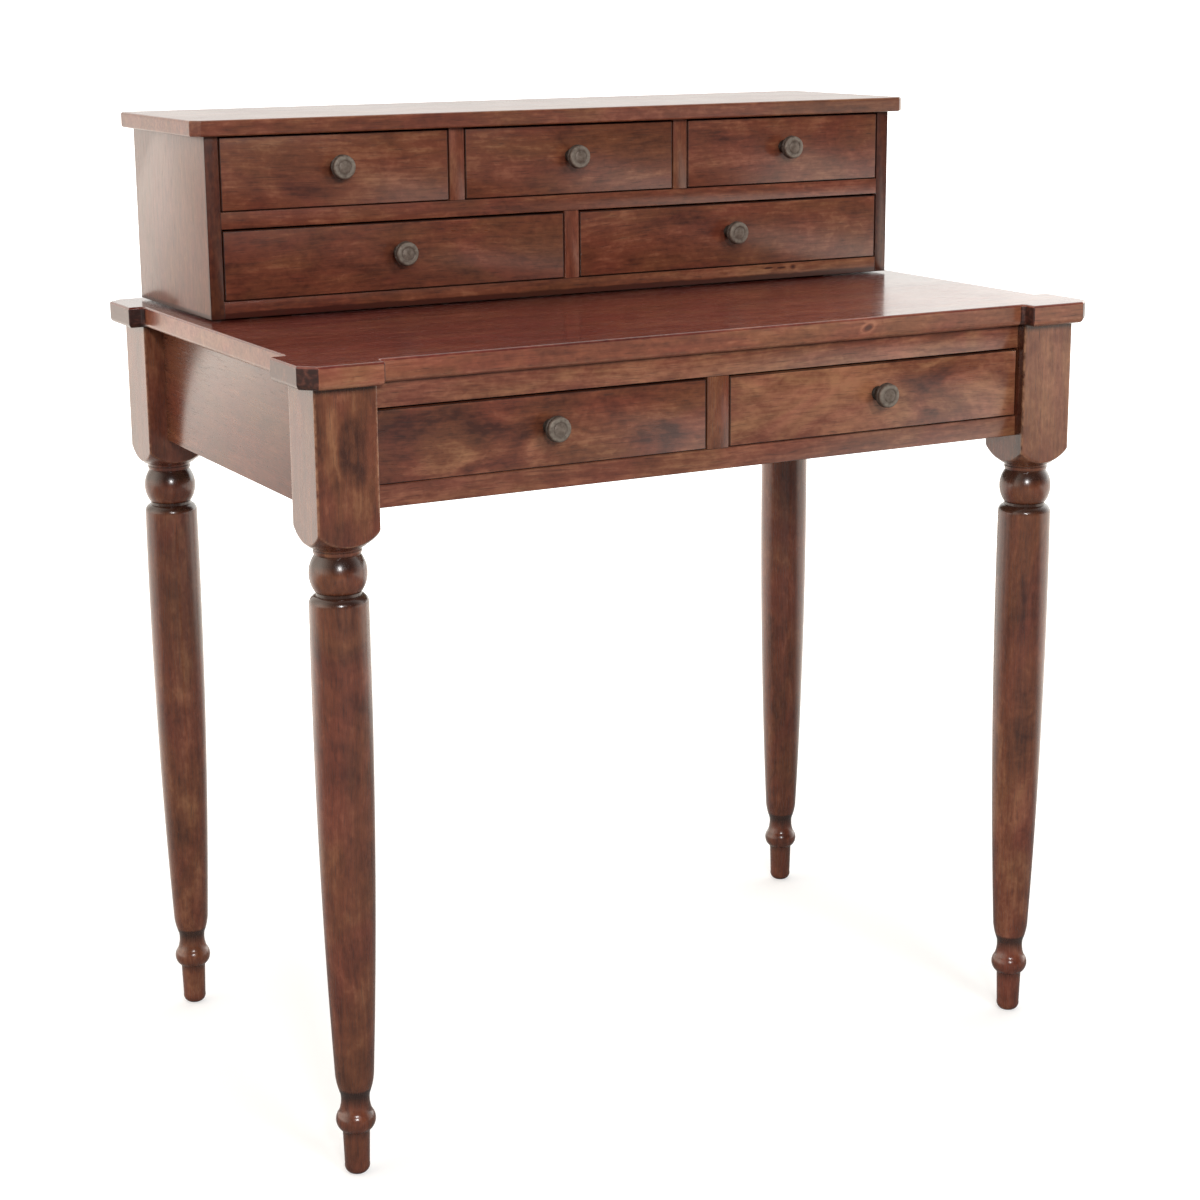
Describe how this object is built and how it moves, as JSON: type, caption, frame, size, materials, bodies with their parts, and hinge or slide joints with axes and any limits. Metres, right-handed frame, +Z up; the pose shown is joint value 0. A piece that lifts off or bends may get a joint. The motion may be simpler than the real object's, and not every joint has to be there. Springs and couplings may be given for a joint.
{
  "type": "bonheur du jour writing desk",
  "caption": "Small writing desk on turned legs, with a low case of small drawers on the back of its top and drawers with round knobs in its front.",
  "frame": {"origin": "on the floor, under the middle of the desk top", "axes": "+X to the sitter's right, +Y to the back of the desk, +Z up; the drawers pull out along -Y"},
  "size_m": [0.864, 0.552, 0.9744],
  "materials": {
    "frame_wood": "reddish-brown stain under a semi-gloss wax polish",
    "top_wood": "reddish-brown stain, glossy polish",
    "case_wood": "reddish-brown stain under a semi-gloss wax polish",
    "front_wood": "figured wood, reddish-brown stain, semi-gloss",
    "inner_wood": "plain unpolished secondary wood",
    "knob_metal": "cast, darkened to an old pewter and bronze look",
    "pad_felt": "dark pressed felt"
  },
  "bodies": {
    "desk": {"leg_front_left": "frame_wood", "leg_front_right": "frame_wood", "leg_back_left": "frame_wood", "leg_back_right": "frame_wood", "desk_top": "top_wood", "side_apron_left": "frame_wood", "side_apron_right": "frame_wood", "back_apron": "frame_wood", "front_top_rail": "frame_wood", "front_bottom_rail": "frame_wood", "front_divider": "frame_wood", "runner_left": "inner_wood", "runner_centre": "inner_wood", "runner_right": "inner_wood", "kicker_left": "inner_wood", "kicker_centre": "inner_wood", "kicker_right": "inner_wood", "top_fixing_blocks": "inner_wood", "case_side_left": "case_wood", "case_side_right": "case_wood", "case_top": "top_wood", "case_floor": "case_wood", "case_shelf": "case_wood", "case_back": "inner_wood", "upper_divider_left": "case_wood", "upper_divider_right": "case_wood", "lower_divider": "case_wood", "case_pads": "pad_felt"},
    "desk_drawer_left": {"desk_drawer_left_front": "front_wood", "desk_drawer_left_box": "inner_wood", "desk_drawer_left_bottom": "inner_wood", "desk_drawer_left_knob": "knob_metal"},
    "desk_drawer_right": {"desk_drawer_right_front": "front_wood", "desk_drawer_right_box": "inner_wood", "desk_drawer_right_bottom": "inner_wood", "desk_drawer_right_knob": "knob_metal"},
    "top_drawer_left": {"top_drawer_left_front": "front_wood", "top_drawer_left_box": "inner_wood", "top_drawer_left_bottom": "inner_wood", "top_drawer_left_knob": "knob_metal"},
    "top_drawer_centre": {"top_drawer_centre_front": "front_wood", "top_drawer_centre_box": "inner_wood", "top_drawer_centre_bottom": "inner_wood", "top_drawer_centre_knob": "knob_metal"},
    "top_drawer_right": {"top_drawer_right_front": "front_wood", "top_drawer_right_box": "inner_wood", "top_drawer_right_bottom": "inner_wood", "top_drawer_right_knob": "knob_metal"},
    "low_drawer_left": {"low_drawer_left_front": "front_wood", "low_drawer_left_box": "inner_wood", "low_drawer_left_bottom": "inner_wood", "low_drawer_left_knob": "knob_metal"},
    "low_drawer_right": {"low_drawer_right_front": "front_wood", "low_drawer_right_box": "inner_wood", "low_drawer_right_bottom": "inner_wood", "low_drawer_right_knob": "knob_metal"}
  },
  "joints": [
    {"name": "desk_drawer_left_slide", "type": "slide", "parent": "desk", "child": "desk_drawer_left", "axis": [0, -1, 0], "range_m": [0, 0.3]},
    {"name": "desk_drawer_right_slide", "type": "slide", "parent": "desk", "child": "desk_drawer_right", "axis": [0, -1, 0], "range_m": [0, 0.3]},
    {"name": "top_drawer_left_slide", "type": "slide", "parent": "desk", "child": "top_drawer_left", "axis": [0, -1, 0], "range_m": [0, 0.14]},
    {"name": "top_drawer_centre_slide", "type": "slide", "parent": "desk", "child": "top_drawer_centre", "axis": [0, -1, 0], "range_m": [0, 0.14]},
    {"name": "top_drawer_right_slide", "type": "slide", "parent": "desk", "child": "top_drawer_right", "axis": [0, -1, 0], "range_m": [0, 0.14]},
    {"name": "low_drawer_left_slide", "type": "slide", "parent": "desk", "child": "low_drawer_left", "axis": [0, -1, 0], "range_m": [0, 0.14]},
    {"name": "low_drawer_right_slide", "type": "slide", "parent": "desk", "child": "low_drawer_right", "axis": [0, -1, 0], "range_m": [0, 0.14]}
  ]
}
